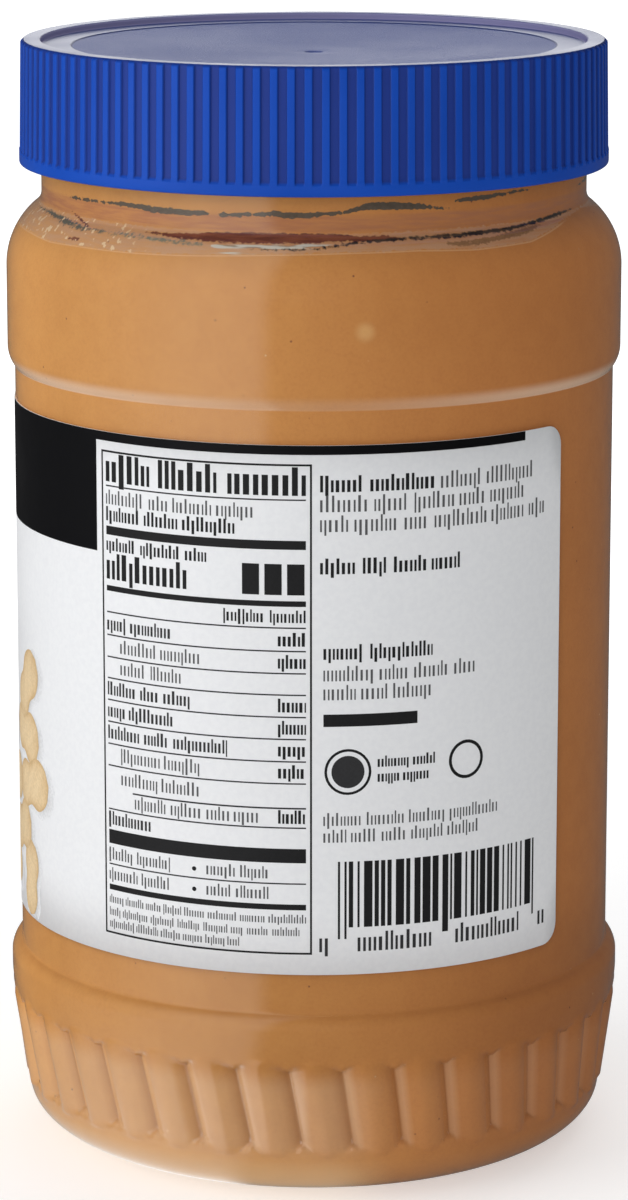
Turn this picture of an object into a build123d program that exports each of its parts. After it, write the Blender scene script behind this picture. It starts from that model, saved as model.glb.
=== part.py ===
"""A peanut butter jar: clear blow-moulded jar, its filling, a wrap-round label and a ribbed screw cap.

Units are millimetres. The jar stands on its foot ring at z = 0, its axis is Z, and the label's
information panel faces -Y. Angles round the jar are counted from -Y towards +X.
"""

import os
from math import asin, atan2, cos, degrees, radians, sin, sqrt, tan

from build123d import *

# Jar body, from the foot up
wall = 0.8
jar_r = 48.56  # widest part, the bulge above the flutes
foot_w = 1.5  # width of the ring that the jar stands on
base_rise = 5.0  # height of the dome under the base
heel_w = 13.0  # the heel is a quarter ellipse, this wide
heel_h = 7.8
fluted_h = 16.7
fluted_lean = 8.1  # how far the fluted wall leans outwards, degrees
jar_round = 20.0
bulge_flat = 1.7
lower_step_h = 4.0
panel_in = 1.68  # depth of the recess that carries the label
panel_h = 89.0
upper_step_h = 5.0
collar_in = 0.56  # the band above the panel, measured in from the widest part
collar_h = 12.5
shoulder_round = 12.2
neck_in = 6.14
neck_round = 2.5
neck_h = 20.8

# Slanted flutes round the base
flute_count = 36
flute_r = 1.3
flute_depth = 1.1
flute_low = 1.2  # from the heel up to a flute's lower end
flute_high = 1.8  # from a flute's upper end up to the end of the leaning wall
flute_twist = 2.8  # degrees that a flute moves round the jar from its top to its foot
flute_phase = 5.0  # where the first valley's top is, degrees

# Filling
headspace = 12.5  # from the filling up to the rim
food_gap = 0.02

# Label
label_t = 0.12
label_gap = 0.01
label_low = 4.5  # bare panel below the label
label_high = 3.2  # bare panel above the label
label_end = 52.7
label_wrap = 318.0
label_corner = 3.2

# Cap
cap_gap = 1.5  # room for the thread between the neck and the skirt
skirt_t = 1.1
cap_h = 19.1
cap_plate = 1.6
cap_rim_h = 1.0
cap_rim_w = 2.8
cap_rim_round = 0.4
cap_edge_round = 0.6
disc_r = 37.6  # matt disc in the middle of the cap
disc_drop = 0.15
disc_dish = 1.1
gate_r = 1.3
gate_depth = 0.25
band_h = 2.3
band_out = 0.78  # how far the plain lower band stands out from the grooves
rib_count = 112
rib_out = 0.36
rib_share = 0.45  # a rib's share of its pitch
rib_top_gap = 0.35

# Heights and radii that follow
lean = radians(fluted_lean)
fluted_top = heel_h + fluted_h
bulge_z = fluted_top + jar_round * sin(lean)
bulge_top = bulge_z + bulge_flat
panel_z = bulge_top + lower_step_h
panel_top = panel_z + panel_h
collar_z = panel_top + upper_step_h
collar_top = collar_z + collar_h
heel_r = jar_r - jar_round * (1 - cos(lean)) - fluted_h * tan(lean)
foot_r = heel_r - heel_w
panel_r = jar_r - panel_in
collar_r = jar_r - collar_in
neck_r = jar_r - neck_in
shoulder_run = shoulder_round + neck_round + neck_r - collar_r
neck_z = collar_top + sqrt((shoulder_round + neck_round) ** 2 - shoulder_run**2)
rim_z = neck_z + neck_h
fill_z = rim_z - headspace
cap_in_r = neck_r + cap_gap
groove_r = cap_in_r + skirt_t
cap_top = rim_z + cap_plate + cap_rim_h
cap_z = cap_top - cap_h


def arc_between(centre, radius, start, end):
    """The shorter arc about centre from the direction of start to the direction of end."""
    first = degrees(atan2(start[1] - centre[1], start[0] - centre[0]))
    last = degrees(atan2(end[1] - centre[1], end[0] - centre[0]))
    turn = (last - first + 180) % 360 - 180
    return CenterArc(centre, radius, first, turn)


def double_bend(wide, wide_round, narrow, narrow_round, inset):
    """Two arcs from the upright line wide = (r, z) to the upright line narrow, bulging, then hollow."""
    centre_wide = (wide[0] - wide_round, wide[1])
    centre_narrow = (narrow[0] + narrow_round, narrow[1])
    share = (wide_round - inset) / (wide_round + narrow_round)
    meet = tuple(a + (b - a) * share for a, b in zip(centre_wide, centre_narrow))
    arc_between(centre_wide, wide_round - inset, (wide[0], wide[1]), meet)
    arc_between(centre_narrow, narrow_round + inset, meet, (narrow[0], narrow[1]))


def bowl_arc(edge_r, sag, low_z):
    """A shallow arc centred on the axis, from (0, low_z) up to (edge_r, low_z + sag)."""
    radius = (edge_r**2 + sag**2) / (2 * sag)
    return CenterArc((0, low_z + radius), radius, 270, degrees(asin(edge_r / radius)))


def step_round(rise, depth):
    """The radius of two equal arcs that step depth sideways over rise."""
    return (rise**2 + depth**2) / (4 * depth)


def jar_section(inset, top):
    """Half of the jar's section, taken in by inset all round and closed at the height top."""
    dome_r = ((foot_r - foot_w) ** 2 + base_rise**2) / (2 * base_rise)
    dome_edge = sqrt((dome_r + inset) ** 2 - (dome_r - base_rise + inset) ** 2)
    dome_turn = degrees(atan2(dome_edge, dome_r - base_rise + inset))
    bulge_centre = (jar_r - jar_round, bulge_z)
    bulge_in = jar_round - inset
    lean_end = (bulge_centre[0] + bulge_in * cos(lean), bulge_z - bulge_in * sin(lean))
    lower_round = step_round(lower_step_h, jar_r - panel_r)
    upper_round = step_round(upper_step_h, collar_r - panel_r)
    with BuildSketch(Plane.XZ) as section:
        with BuildLine():
            CenterArc((0, base_rise - dome_r), dome_r + inset, 90 - dome_turn, dome_turn)
            Line((dome_edge, inset), (foot_r, inset))
            EllipticalCenterArc((foot_r, heel_h), heel_w - inset, heel_h - inset, start_angle=270, arc_size=90)
            Line((heel_r - inset, heel_h), lean_end)
            arc_between(bulge_centre, bulge_in, lean_end, (jar_r, bulge_z))
            Line((jar_r - inset, bulge_z), (jar_r - inset, bulge_top))
            double_bend((jar_r, bulge_top), lower_round, (panel_r, panel_z), lower_round, inset)
            Line((panel_r - inset, panel_z), (panel_r - inset, panel_top))
            double_bend((collar_r, collar_z), upper_round, (panel_r, panel_top), upper_round, inset)
            Line((collar_r - inset, collar_z), (collar_r - inset, collar_top))
            double_bend((collar_r, collar_top), shoulder_round, (neck_r, neck_z), neck_round, inset)
            Line((neck_r - inset, neck_z), (neck_r - inset, top))
            Line((neck_r - inset, top), (0, top))
            Line((0, top), (0, base_rise + inset))
        make_face()
    return section.sketch


def flute_point(z, angle):
    """A point on a flute's axis, at height z and angle round the jar."""
    r = heel_r + (z - heel_h) * tan(lean) + flute_r - flute_depth
    return Vector(r * sin(radians(angle)), -r * cos(radians(angle)), z)


def flute_tool(grown):
    """The round bar that leaves one flute, grown by the wall that follows it inside."""
    low = flute_point(heel_h + flute_low, flute_phase + flute_twist)
    high = flute_point(fluted_top - flute_high, flute_phase)
    along = (high - low).normalized()
    with BuildPart(Plane(origin=low - along * grown, z_dir=along)) as tool:
        Cylinder(flute_r + grown, (high - low).length + 2 * grown, align=(Align.CENTER, Align.CENTER, Align.MIN))
    return tool.part


def fluted_body(inset, top):
    """The jar's solid form, taken in by inset, with its flutes, up to the height top."""
    with BuildPart() as body:
        add(jar_section(inset, top))
        revolve(axis=Axis.Z)
        with PolarLocations(0, flute_count):
            add(flute_tool(inset), mode=Mode.SUBTRACT)
    return body.part


# Jar: clear wall of even thickness, open at the rim
with BuildPart() as jar:
    add(fluted_body(0, rim_z))
    add(fluted_body(wall, rim_z), mode=Mode.SUBTRACT)

# Filling: everything inside the wall, up to the headspace
with BuildPart() as peanut_butter:
    add(fluted_body(wall + food_gap, fill_z))

# Label: thin wrap on the recessed panel, with round corners and a bare gap between its ends
label_in_r = panel_r + label_gap
label_start = label_end - label_wrap - 90
start = radians(label_start)
label_plane = Plane(
    origin=(0, 0, panel_z + label_low), x_dir=(cos(start), sin(start), 0), z_dir=(sin(start), -cos(start), 0)
)
with BuildPart() as label:
    with BuildSketch(label_plane):
        with Locations((label_in_r, 0)):
            Rectangle(label_t, panel_h - label_low - label_high, align=(Align.MIN, Align.MIN))
    revolve(axis=Axis.Z, revolution_arc=label_wrap)
    fillet(label.edges().filter_by(lambda edge: edge.length < 2 * label_t), label_corner)

# Cap: skirt, top plate with a raised rim, matt disc, plain lower band and ribs
with BuildPart() as cap:
    rim_in_r = groove_r - cap_rim_w
    plate_z = cap_top - cap_rim_h
    disc_z = plate_z - disc_drop
    dish_z = disc_z - disc_dish
    with BuildSketch(Plane.XZ):
        with BuildLine():
            Line((0, dish_z - cap_plate), (0, dish_z))
            bowl_arc(disc_r, disc_dish, dish_z)
            Polyline(
                (disc_r, disc_z),
                (disc_r, plate_z),
                (rim_in_r, plate_z),
                (rim_in_r, cap_top),
                (groove_r, cap_top),
                (groove_r, cap_z + band_h),
                (groove_r + band_out, cap_z + band_h - band_out / 2),
                (groove_r + band_out, cap_z),
                (cap_in_r, cap_z),
                (cap_in_r, rim_z),
                (disc_r, rim_z),
            )
            bowl_arc(disc_r, disc_dish + disc_drop, dish_z - cap_plate)
        make_face()
    revolve(axis=Axis.Z)
    rim_edges = cap.edges().filter_by(GeomType.CIRCLE).group_by(Axis.Z)[-1]
    fillet(rim_edges.sort_by(SortBy.RADIUS)[0], cap_rim_round)
    rim_edges = cap.edges().filter_by(GeomType.CIRCLE).group_by(Axis.Z)[-1]
    fillet(rim_edges.sort_by(SortBy.RADIUS)[-1], cap_edge_round)
    rib_low = cap_z + band_h - band_out / 2
    rib_high = cap_top - rib_top_gap - cap_edge_round
    rib_w = rib_share * radians(360 / rib_count) * groove_r
    with BuildSketch(Plane.XY.offset(rib_low)):
        with PolarLocations(groove_r - skirt_t / 2, rib_count):
            Rectangle(skirt_t / 2 + rib_out, rib_w, align=(Align.MIN, Align.CENTER))
    extrude(amount=rib_high - rib_low)
    with Locations((0, 0, dish_z - gate_depth)):
        Cylinder(gate_r, cap_plate, align=(Align.CENTER, Align.CENTER, Align.MIN), mode=Mode.SUBTRACT)

os.makedirs("parts", exist_ok=True)
for name, piece in (("jar", jar), ("peanut_butter", peanut_butter), ("label", label), ("cap", cap)):
    piece.part.label = name
    export_step(piece.part, f"parts/{name}.step")
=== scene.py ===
"""Looks for a clear plastic jar of peanut butter with a ribbed screw cap and a wrap-round label.

The sizes of each piece are in millimetres and turn into metres when its mesh is made.
Angles round the jar are in degrees, counted from the front (-Y) towards +X.
"""

import random
from math import atan2, ceil, cos, degrees, pi, radians, sin, sqrt

import bpy
import numpy as np
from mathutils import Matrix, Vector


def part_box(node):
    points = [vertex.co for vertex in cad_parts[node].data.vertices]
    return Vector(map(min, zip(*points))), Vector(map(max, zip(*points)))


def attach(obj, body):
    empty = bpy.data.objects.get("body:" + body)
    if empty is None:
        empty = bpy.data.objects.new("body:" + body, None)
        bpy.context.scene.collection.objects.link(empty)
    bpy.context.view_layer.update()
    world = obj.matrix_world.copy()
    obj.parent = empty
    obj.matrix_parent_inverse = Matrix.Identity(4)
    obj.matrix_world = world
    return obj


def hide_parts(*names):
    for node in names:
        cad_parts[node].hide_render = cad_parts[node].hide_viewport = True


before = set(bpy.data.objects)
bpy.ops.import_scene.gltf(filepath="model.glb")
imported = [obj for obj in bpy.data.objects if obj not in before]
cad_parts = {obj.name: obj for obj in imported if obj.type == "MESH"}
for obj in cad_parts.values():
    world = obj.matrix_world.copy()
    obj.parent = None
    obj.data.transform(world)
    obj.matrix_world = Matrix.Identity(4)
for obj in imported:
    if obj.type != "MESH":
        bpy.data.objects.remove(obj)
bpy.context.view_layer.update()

MM = 0.001
rng = random.Random(7)

# Jar, as the CAD part has it
WALL = 0.8
JAR_R = 48.56
FOOT_R = 32.984
FOOT_W = 1.5
BASE_RISE = 5.0
HEEL_W = 13.0
HEEL_H = 7.8
LEAN = 8.1
FLUTED_TOP = 24.5
BULGE_ROUND = 20.0
BULGE_FLAT = 1.7
PANEL_R = 46.88
PANEL_H = 89.0
LOWER_STEP_H = 4.0
UPPER_STEP_H = 5.0
# The panel's two creases are drawn sharper than in the CAD part, with this rise and hollow radius
LOWER_CREASE = 3.0
UPPER_CREASE = 3.3
HOLLOW = 0.6
COLLAR_R = 48.0
COLLAR_H = 12.5
SHOULDER_ROUND = 12.2
NECK_R = 42.42
NECK_ROUND = 2.5
# The visual jar stays inside the CAD part's box, whose circles are polygons
WIDEST = min(-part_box("jar")[0].x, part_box("jar")[1].y) / MM
RIM_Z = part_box("jar")[1].z / MM
FILL_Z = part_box("peanut_butter")[1].z / MM

HEEL_EXTRA = 1.5  # how much thicker the wall is at the foot, fading out at HEEL_TOP
HEEL_TOP = 9.0
CONTENTS_REACH = 0.12  # how far the contents go into the wall, so that no gap shows

# Ribs between the slanted flutes
RIB_COUNT = 36
RIB_TURN = 2.8  # degrees that a rib moves round the jar from VALLEY_TOP to VALLEY_FOOT
VALLEY_TOP = 22.5
VALLEY_FOOT = 8.8
CREST_OUT = 0.4
VALLEY_IN = 1.35
RIBS_LOW = 7.7  # the ribbed band at a crest; its ends arch by RIB_ARCH_LOW and RIB_ARCH_HIGH
RIBS_HIGH = 24.3
RIB_ARCH_LOW = 1.5
RIB_ARCH_HIGH = 1.7
RIB_FADE = 0.9
# A rib's columns of points, from -1 in one valley over 0 on the crest to 1 in the next valley
ACROSS = np.array([-1, -0.9, -0.74, -0.5, -0.25, 0, 0.25, 0.5, 0.74, 0.9])
RIB_SIDE = np.tile(ACROSS, RIB_COUNT)
RIB_ANGLE = np.repeat(np.arange(RIB_COUNT) * 360 / RIB_COUNT, len(ACROSS)) + RIB_SIDE * 180 / RIB_COUNT

# Label
LABEL_R = 47.01
LABEL_T = 0.12
LABEL_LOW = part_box("label")[0].z / MM
LABEL_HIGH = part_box("label")[1].z / MM
LABEL_END = 52.7
LABEL_WRAP = 318.0
LABEL_CORNER = 3.2
INK_LIFT = 0.02

# Cap
CAP_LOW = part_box("cap")[0].z / MM
CAP_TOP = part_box("cap")[1].z / MM
CAP_IN_R = 43.92
GROOVE_R = 45.02
BAND_R = 45.8
BAND_H = 2.3
RIM_IN_R = 42.22
PLATE_Z = CAP_TOP - 1.0
DISC_R = 37.6
DISC_Z = PLATE_Z - 0.15
DISH = 1.1
CAP_EDGE = 0.2
GRIP_COUNT = 112
GRIP_OUT = 0.38
GRIP_PHASE = 2.2  # degrees
DRAFT = 0.3  # how much wider the grooved skirt is at its lower end
GRIP_TOP = CAP_TOP - CAP_EDGE - 0.05
BAND_TOP = CAP_LOW + BAND_H


# ---------------------------------------------------------------- outlines


def arc(centre, radius, first, last, steps):
    """Points (r, z) on an arc; angles in degrees from +r towards +z."""
    return [
        (centre[0] + radius * cos(radians(a)), centre[1] + radius * sin(radians(a)))
        for a in np.linspace(first, last, steps)
    ]


def run(start, end, step):
    """Points (r, z) on a straight line, no further apart than step, without its start."""
    count = max(1, ceil(np.hypot(end[0] - start[0], end[1] - start[1]) / step))
    return [
        (start[0] + (end[0] - start[0]) * k / count, start[1] + (end[1] - start[1]) * k / count)
        for k in range(1, count + 1)
    ]


def double_bend(wide, wide_round, narrow, narrow_round, steps):
    """Two arcs from the upright line through wide to the one through narrow, as points (r, z)."""
    at_wide = (wide[0] - wide_round, wide[1])
    at_narrow = (narrow[0] + narrow_round, narrow[1])
    tilt = degrees(atan2(at_narrow[1] - at_wide[1], at_narrow[0] - at_wide[0]))
    first = arc(at_wide, wide_round, 0, tilt, steps)
    return first + arc(at_narrow, narrow_round, 180 + tilt, 180, steps)[1:]


def step_round(rise, depth):
    """The radius of two equal arcs that step depth sideways over rise."""
    return (rise**2 + depth**2) / (4 * depth)


def jar_outline():
    """The jar's outer outline from the middle of its underside up to the rim."""
    foot_in = FOOT_R - FOOT_W
    dome = (foot_in**2 + BASE_RISE**2) / (2 * BASE_RISE)
    points = [(r, BASE_RISE - dome + sqrt(dome**2 - r**2)) for r in np.linspace(0.6, foot_in, 10)]
    points += run(points[-1], (FOOT_R, 0), 0.8)
    points += [
        (FOOT_R + HEEL_W * sin(radians(a)), HEEL_H - HEEL_H * cos(radians(a)))
        for a in np.linspace(5, 90, 22)
    ]
    bulge = (JAR_R - BULGE_ROUND, FLUTED_TOP + BULGE_ROUND * sin(radians(LEAN)))
    lean_end = arc(bulge, BULGE_ROUND, -LEAN, -LEAN, 1)[0]
    slope = (lean_end[0] - points[-1][0]) / (lean_end[1] - points[-1][1])
    heel = points[-1]
    # Close rows where the ribs begin and end, wide ones between
    for heights in (np.arange(8.1, 11.6, 0.3), np.arange(12.5, 20, 1.2), np.arange(20.2, 24.6, 0.3)):
        points += [(heel[0] + (z - heel[1]) * slope, z) for z in heights]
    points += arc(bulge, BULGE_ROUND, -LEAN, 0, 5)[1:]
    bulge_top = bulge[1] + BULGE_FLAT
    panel_z = bulge_top + LOWER_STEP_H
    points += run(points[-1], (JAR_R, bulge_top - 0.4), 0.9)
    crease = (PANEL_R, points[-1][1] + LOWER_CREASE)
    lower = 2 * step_round(LOWER_CREASE, JAR_R - PANEL_R) - HOLLOW
    points += double_bend(points[-1], lower, crease, HOLLOW, 8)[1:]
    collar = (COLLAR_R, panel_z + PANEL_H + UPPER_STEP_H)
    crease = (PANEL_R, collar[1] - UPPER_CREASE)
    points += run(points[-1], crease, 18)
    upper = 2 * step_round(UPPER_CREASE, COLLAR_R - PANEL_R) - HOLLOW
    points += double_bend(collar, upper, crease, HOLLOW, 9)[::-1][1:]
    points += run(points[-1], (COLLAR_R, collar[1] + COLLAR_H), 2.5)
    reach = SHOULDER_ROUND + NECK_ROUND
    neck_z = points[-1][1] + sqrt(reach**2 - (reach + NECK_R - COLLAR_R) ** 2)
    points += double_bend(points[-1], SHOULDER_ROUND, (NECK_R, neck_z), NECK_ROUND, 30)[1:]
    points += run(points[-1], (NECK_R, CAP_LOW + 0.6), 0.3)
    points += run(points[-1], (NECK_R, RIM_Z), 4)
    return points


def normals(points):
    """Unit normals (r, z) of an outline that goes up the outside."""
    p = np.array(points)
    along = np.gradient(p, axis=0)
    along /= np.linalg.norm(along, axis=1)[:, None]
    return np.stack([along[:, 1], -along[:, 0]], axis=1)


def smooth(x):
    """A smooth step from 0 at x = 0 to 1 at x = 1."""
    x = np.clip(x, 0, 1)
    return x * x * (3 - 2 * x)


# ---------------------------------------------------------------- meshes


def new_object(name, vertices, faces, body="root"):
    """A smooth-shaded mesh object from points in millimetres, riding on a CAD body."""
    mesh = bpy.data.meshes.new(name)
    mesh.from_pydata((np.array(vertices) * MM).tolist(), [], faces)
    mesh.validate()
    mesh.shade_smooth()
    piece = bpy.data.objects.new(name, mesh)
    bpy.context.scene.collection.objects.link(piece)
    if body:
        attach(piece, body)
    return piece


def turned(r, z, angles):
    """Points of a turned surface: r, z and angles are arrays of the same (rows, columns) shape."""
    a = np.radians(angles)
    return np.stack([r * np.sin(a), -r * np.cos(a), z], axis=-1)


def ring_faces(rows, columns):
    """Quads between the rows of a closed ring grid, with its two ends filled."""
    faces = []
    for i in range(rows - 1):
        for j in range(columns):
            k = (j + 1) % columns
            faces.append((i * columns + j, i * columns + k, (i + 1) * columns + k, (i + 1) * columns + j))
    faces.append(tuple(range(columns))[::-1])
    faces.append(tuple((rows - 1) * columns + j for j in range(columns)))
    return faces


def point_values(piece, name, values):
    """Stores one number a vertex, which the piece's material reads."""
    attribute = piece.data.attributes.new(name, "FLOAT", "POINT")
    attribute.data.foreach_set("value", np.asarray(values, np.float32).ravel())


def rib_share(z):
    """1 where a height and column lie in the ribbed band, fading to 0 outside it."""
    z = np.asarray(z)[:, None]
    side = RIB_SIDE[None, :]
    low = RIBS_LOW + RIB_ARCH_LOW * side**2
    high = RIBS_HIGH - RIB_ARCH_HIGH * side**2
    return smooth((z - low) / RIB_FADE) * smooth((high - z) / RIB_FADE)


def rib_height(z):
    """How far the ribbed surface stands out from the plain wall, for each height and column."""
    across = CREST_OUT - (CREST_OUT + VALLEY_IN) * np.abs(RIB_SIDE[None, :]) ** 1.7
    return across * rib_share(z)


def rib_angles(z):
    """The columns' angles at each height: they follow the slant of the flutes."""
    share = np.clip((VALLEY_TOP - np.asarray(z)) / (VALLEY_TOP - VALLEY_FOOT), 0, 1)
    return RIB_ANGLE[None, :] + RIB_TURN * share[:, None]


def wall_at(z):
    """The wall's thickness: even, but thicker towards the foot."""
    return WALL + HEEL_EXTRA * np.clip(1 - np.asarray(z) / HEEL_TOP, 0, 1) ** 1.5


def jar_surface(points, depth):
    """The jar's surface taken in by depth: r, z and angles, each (rows, columns)."""
    p, n = np.array(points), normals(points)
    out = rib_height(p[:, 1]) * (p[:, 0] > FOOT_R)[:, None] - np.asarray(depth)[:, None]
    r = np.minimum(p[:, :1] + n[:, :1] * out, WIDEST)
    z = p[:, 1:] + n[:, 1:] * out
    return r, z, rib_angles(p[:, 1])


def build_jar():
    """The clear wall: up the outside to the rim, and down the inside with every third row."""
    outer = jar_outline()
    inner = [p for k, p in enumerate(outer) if k % 3 == 0 or k == len(outer) - 1]
    out_r, out_z, out_a = jar_surface(outer, np.zeros(len(outer)))
    in_r, in_z, in_a = (x[::-1] for x in jar_surface(inner, wall_at([p[1] for p in inner])))
    in_z[0] = out_z[-1]
    points = turned(np.vstack([out_r, in_r]), np.vstack([out_z, in_z]), np.vstack([out_a, in_a]))
    rows, columns = points.shape[:2]
    piece = new_object("jar_wall", points.reshape(-1, 3), ring_faces(rows, columns))
    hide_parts("jar")
    return piece


# Bands round the neck, each a row of (angle, height, half width): gaps between the filling and the wall,
# painted dark grey for the shade and reflection in them, dark oil, a painted grey glint and a painted bright
# glint on the shoulder, a brown stain, and a thin gap line painted dark for the shade in it
CRACKS = (
    (
        (-176, 153.3, 0), (-168, 153.6, 0.4), (-150, 153.1, 0.5), (-132, 153.4, 0.2), (-118, 153.0, 0.5),
        (-100, 152.8, 0.4), (-88, 153.2, 0), (-64, 152.4, 0), (-59, 152.3, 0.28), (-50, 152.4, 0.22),
        (-42, 152.55, 0.36), (-37.5, 152.4, 0.42), (-35.5, 152.2, 0.52), (-29, 152.1, 0.5),
        (-22.1, 152.2, 0.36), (-21, 152.2, 0), (-20.2, 152.1, 0), (-19.4, 152.1, 0.36), (-12.7, 152.3, 0.32),
        (-9, 152.4, 0.35), (-7.8, 152.6, 0.55), (-6.3, 152.25, 0.5), (-1, 152.3, 0.42), (5.7, 152.6, 0.28),
        (8.4, 153.1, 0.42), (11.7, 153.6, 0.62), (15.7, 153.5, 0.65), (20.7, 153.3, 0.55),
        (24.5, 153.0, 0.32), (27.8, 152.6, 0.22), (30.4, 152.6, 0), (70, 153, 0), (84, 153.4, 0.4),
        (100, 153.8, 0.5), (118, 153.2, 0.3), (128, 153.0, 0), (140, 153.2, 0.4), (158, 153.7, 0.5),
        (172, 153.4, 0.2), (176, 153.3, 0),
    ),
    (
        (29, 153.7, 0), (30, 153.75, 0.32), (37, 153.85, 0.36), (46, 154.25, 0.22), (50, 154.3, 0.12),
        (52, 154.5, 0),
    ),
)
OIL = (
    (
        (-36, 148.6, 0), (-33, 148.6, 0.25), (-27.6, 148.5, 0.4), (-20, 148.7, 0.75), (-13, 148.8, 0.85),
        (0, 148.8, 0.75), (5, 148.9, 0.6), (9, 148.6, 0.5), (14, 148.65, 0.5), (19, 148.5, 0),
    ),
    ((-62, 150.4, 0), (-58, 149.6, 0.2), (-52, 148.4, 0.3), (-49, 148.1, 0)),
    ((-56, 146.4, 0), (-53, 146.6, 0.35), (-48, 146.7, 0)),
)
# Where the painted grey glint lies
GREY_GLINT = (
    (
        (-84, 148.7, 0), (-69.6, 148.9, 0.45), (-60.5, 148.4, 0.52), (-54.6, 148.1, 0.45),
        (-51, 148.05, 0.38), (-45, 148.0, 0.3), (-37, 148.0, 0.36), (-28, 147.8, 0.35), (-22, 147.65, 0.3),
        (-20, 147.6, 0),
    ),
)
# Where the painted bright glint lies
BRIGHT_GLINT = (
    ((-21, 147.6, 0), (-19, 147.55, 0.36), (-7.6, 147.65, 0.40), (1.4, 147.8, 0.36), (4.5, 148.0, 0)),
    ((-20, 146.8, 0), (-18, 146.75, 0.24), (-12, 146.7, 0.24), (-8, 146.75, 0)),
)
STAIN = (
    (
        (25, 147.7, 0), (28, 147.5, 0.4), (33, 147.4, 0.5), (37, 147.6, 0.36), (41, 147.8, 0.5),
        (46, 148.1, 0.5), (51, 148.5, 0.2), (53, 148.7, 0),
    ),
)
# A thin gap line, painted dark for the shade in it
SHADED_GAP_LINE = (
    (
        (-15, 147.3, 0), (-10, 147.28, 0.18), (0, 147.4, 0.2), (3, 147.65, 0.22), (6, 148.0, 0.26),
        (10.6, 148.3, 0.28), (19, 148.5, 0.28), (24.4, 148.5, 0.34), (29.3, 148.5, 0.38),
        (34.6, 148.55, 0.40), (41, 148.65, 0.36), (46, 148.8, 0.36), (52, 149.1, 0.42), (59, 149.5, 0.45),
        (65, 149.65, 0.3), (70, 149.8, 0),
    ),
)
NECK_BANDS = {"gap": CRACKS, "oil": OIL, "grey_glint": GREY_GLINT, "bright": BRIGHT_GLINT, "stain": STAIN, "streak": SHADED_GAP_LINE}
# The thin veil of filling on the shoulder: its lower edge as (angle, height), and its top
VEIL_EDGE = (
    (-180, 146.6), (-150, 146.0), (-120, 146.5), (-90, 145.9), (-70, 145.8), (-60, 145.5), (-51, 145.7),
    (-38, 145.8), (-26, 146.05), (-8, 146.6), (6, 146.85), (20, 146.9), (32, 146.5), (46, 146.7),
    (60, 148.3), (72, 149.2), (85, 148.3), (110, 146.4), (145, 147.0), (180, 146.6),
)
VEIL_TOP = 149.6


def band_field(paths, angles, z):
    """How far, in mm, each point is inside bands that follow paths round the jar. Negative is outside."""
    a = (angles + 180) % 360 - 180
    fields = []
    for path in paths:
        at, mid, half = (np.array(column, float) for column in zip(*path))
        middle = np.interp(a, at, mid)
        width = np.interp(a, at, half, left=0, right=0)
        fields.append(np.where(width > 0, width - np.abs(z - middle), -2.0))
    return np.max(fields, axis=0)


def build_contents():
    """The peanut butter up to its level, with the values that its material paints by."""
    outer = [p for p in jar_outline() if p[1] < FILL_Z - 3.5 or p[0] < NECK_R - 1]
    r, z, a = jar_surface(outer, wall_at([p[1] for p in outer]) - CONTENTS_REACH)
    top_r = NECK_R - WALL + CONTENTS_REACH
    ends = [(top_r, FILL_Z - 3), (top_r, FILL_Z - 1.2)]
    ends += [(top_r - 0.8, FILL_Z - 0.2), (top_r - 4, FILL_Z - 0.4)]
    ends += [(top_r * k, FILL_Z - 0.4 - 0.9 * (1 - k)) for k in (0.7, 0.45, 0.2, 0.02)]
    for end_r, end_z in ends:
        wave = 0.12 * np.sin(np.radians(3 * a[-1])) * (end_r < top_r - 1)
        r = np.vstack([r, np.full_like(a[-1], end_r)])
        z = np.vstack([z, end_z + wave])
        a = np.vstack([a, a[-1]])
    points = turned(r, z, a)
    rows, columns = points.shape[:2]
    piece = new_object("jar_contents", points.reshape(-1, 3), ring_faces(rows, columns))
    for name, paths in NECK_BANDS.items():
        point_values(piece, name, band_field(paths, a, z))
    # Painted shade in the ribs' valleys and on each rib's right flank, and painted light on each rib's left
    # edge
    hollow = np.interp(RIB_SIDE, (-1, -0.9, -0.8, 0.5, 0.74, 0.9), (1, 0.35, 0, 0, 0.45, 0.9))
    lit = np.interp(RIB_SIDE, (-1, -0.9, -0.74, -0.5), (0, 0.8, 1, 0))
    ribbed = rib_share([p[1] for p in outer] + [FILL_Z] * len(ends))
    point_values(piece, "hollow", ribbed * hollow)
    point_values(piece, "lit", ribbed * lit)
    edge = np.interp((a + 180) % 360 - 180, *zip(*VEIL_EDGE))
    point_values(piece, "veil", np.minimum(z - edge, VEIL_TOP - z))
    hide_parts("peanut_butter")
    return piece


# ---------------------------------------------------------------- label


def on_label(u, v, lift):
    """A point on the label: u mm round it from the front, v mm above its lower edge."""
    angle = u / LABEL_R
    r = LABEL_R + lift
    return (r * sin(angle), -r * cos(angle), LABEL_LOW + v)


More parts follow.
